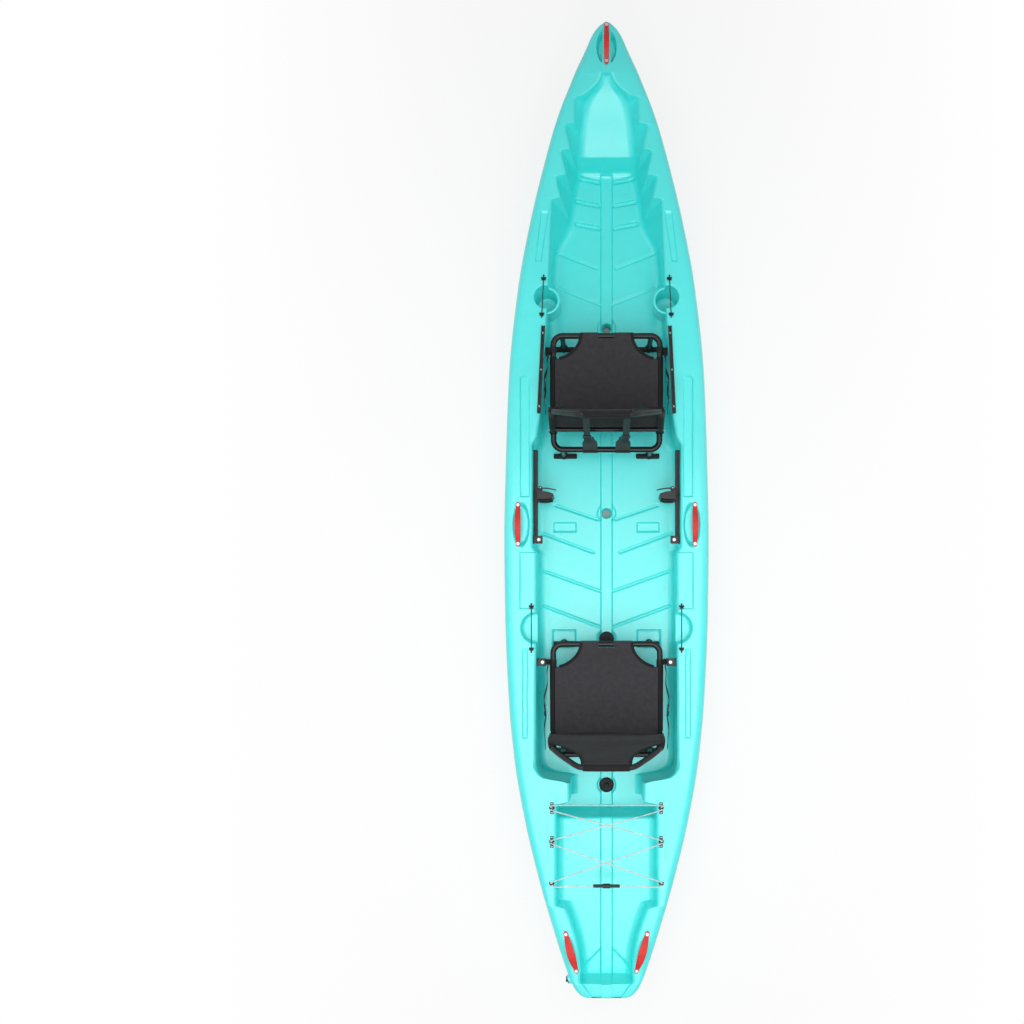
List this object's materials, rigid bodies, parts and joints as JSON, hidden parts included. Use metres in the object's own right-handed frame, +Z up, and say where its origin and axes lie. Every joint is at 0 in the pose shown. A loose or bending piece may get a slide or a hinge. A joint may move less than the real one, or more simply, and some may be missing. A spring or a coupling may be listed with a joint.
{
  "type": "tandem kayak",
  "caption": "Sit-on-top tandem kayak with folding frame seats, sliding foot pedals, scupper and drain plugs, carry handles and a corded tank well.",
  "frame": {"origin": "on the ground under the middle of the hull", "axes": "+Y to the bow, +X to starboard, +Z up"},
  "size_m": [0.8888, 4.115, 0.7159],
  "materials": {
    "hull_plastic": "rotomoulded polyethylene, satin",
    "foam": "closed-cell foam",
    "handle_rubber": "flexible moulded strap, satin",
    "steel": "stainless",
    "fitting_plastic": "moulded nylon, fine grain",
    "plug_rubber": "soft moulded",
    "keeper_cord": "braided shock cord",
    "tank_cord": "braided shock cord",
    "frame_tube": "black powder coat",
    "sling_fabric": "coated mesh weave",
    "webbing": "woven webbing"
  },
  "bodies": {
    "hull": {"hull_shell": "hull_plastic", "foam_block_bow": "foam", "foam_block_stern": "foam", "bow_handle": "handle_rubber", "port_side_handle": "handle_rubber", "starboard_side_handle": "handle_rubber", "port_stern_handle": "handle_rubber", "starboard_stern_handle": "handle_rubber", "handle_bolts": "steel", "track_screws": "steel", "rail_screws": "steel", "hold_down_bolts": "steel", "pad_eye_rivets": "steel", "port_track": "fitting_plastic", "starboard_track": "fitting_plastic", "port_foot_rail": "fitting_plastic", "starboard_foot_rail": "fitting_plastic", "front_hold_downs": "fitting_plastic", "solo_hold_downs": "fitting_plastic", "rear_hold_downs": "fitting_plastic", "keeper_pad_eyes": "fitting_plastic", "tank_well_pad_eyes": "fitting_plastic", "cord_lock": "fitting_plastic", "front_keeper_cords": "keeper_cord", "rear_keeper_cords": "keeper_cord", "tank_well_cord": "tank_cord", "front_seat_base_frame": "frame_tube", "front_seat_base_sling": "sling_fabric", "front_seat_foot_caps": "fitting_plastic", "front_seat_recline_buckles": "fitting_plastic", "front_seat_hold_loops": "webbing", "front_seat_recline_straps": "webbing", "front_seat_hinge_bolts": "steel", "rear_seat_base_frame": "frame_tube", "rear_seat_base_sling": "sling_fabric", "rear_seat_foot_caps": "fitting_plastic", "rear_seat_recline_buckles": "fitting_plastic", "rear_seat_hold_loops": "webbing", "rear_seat_recline_straps": "webbing", "rear_seat_hinge_bolts": "steel"},
    "front_seat_back": {"front_seat_back_frame": "frame_tube", "front_seat_back_sling": "sling_fabric", "front_seat_back_straps": "webbing", "front_seat_back_buckles": "fitting_plastic"},
    "rear_seat_back": {"rear_seat_back_frame": "frame_tube", "rear_seat_back_sling": "sling_fabric", "rear_seat_back_straps": "webbing", "rear_seat_back_buckles": "fitting_plastic"},
    "port_pedal": {"port_foot_pedal": "fitting_plastic", "port_trigger_pin": "steel"},
    "starboard_pedal": {"starboard_foot_pedal": "fitting_plastic", "starboard_trigger_pin": "steel"},
    "port_trigger": {"port_pedal_trigger": "fitting_plastic"},
    "starboard_trigger": {"starboard_pedal_trigger": "fitting_plastic"},
    "middle_plug": {"middle_scupper_plug": "plug_rubber"},
    "rear_plug": {"rear_scupper_plug": "plug_rubber"},
    "drain": {"drain_plug": "fitting_plastic", "drain_gasket": "plug_rubber"}
  },
  "joints": [
    {"name": "front_back_fold", "type": "hinge", "parent": "hull", "child": "front_seat_back", "pos_m": [0, 0.357, 0.30012], "axis": [-1, 0, 0], "range_deg": [0, 63], "deforming": ["front_seat_recline_straps", "front_seat_recline_buckles"]},
    {"name": "rear_back_fold", "type": "hinge", "parent": "hull", "child": "rear_seat_back", "pos_m": [0, -0.959, 0.30012], "axis": [-1, 0, 0], "range_deg": [0, 72], "deforming": ["rear_seat_recline_straps", "rear_seat_recline_buckles"]},
    {"name": "port_pedal_slide", "type": "slide", "parent": "hull", "child": "port_pedal", "axis": [0, 1, 0], "range_m": [-0.14, 0.14]},
    {"name": "port_trigger_squeeze", "type": "hinge", "parent": "port_pedal", "child": "port_trigger", "pos_m": [-0.286, 0.117, 0.236], "axis": [0, 0, -1], "range_deg": [0, 6], "stiffness_Nm_per_rad": 0.5},
    {"name": "starboard_pedal_slide", "type": "slide", "parent": "hull", "child": "starboard_pedal", "axis": [0, 1, 0], "range_m": [-0.14, 0.14]},
    {"name": "starboard_trigger_squeeze", "type": "hinge", "parent": "starboard_pedal", "child": "starboard_trigger", "pos_m": [0.286, 0.117, 0.236], "axis": [0, 0, 1], "range_deg": [0, 6], "stiffness_Nm_per_rad": 0.5},
    {"name": "middle_plug_lift", "type": "slide", "parent": "hull", "child": "middle_plug", "axis": [0, 0, 1], "range_m": [0, 0.06]},
    {"name": "rear_plug_lift", "type": "slide", "parent": "hull", "child": "rear_plug", "axis": [0, 0, 1], "range_m": [0, 0.06]},
    {"name": "drain_plug_turn", "type": "hinge", "parent": "hull", "child": "drain", "pos_m": [-0.153, -1.985, 0.316], "axis": [-0.9205, -0.3907, 0], "continuous": true}
  ]
}
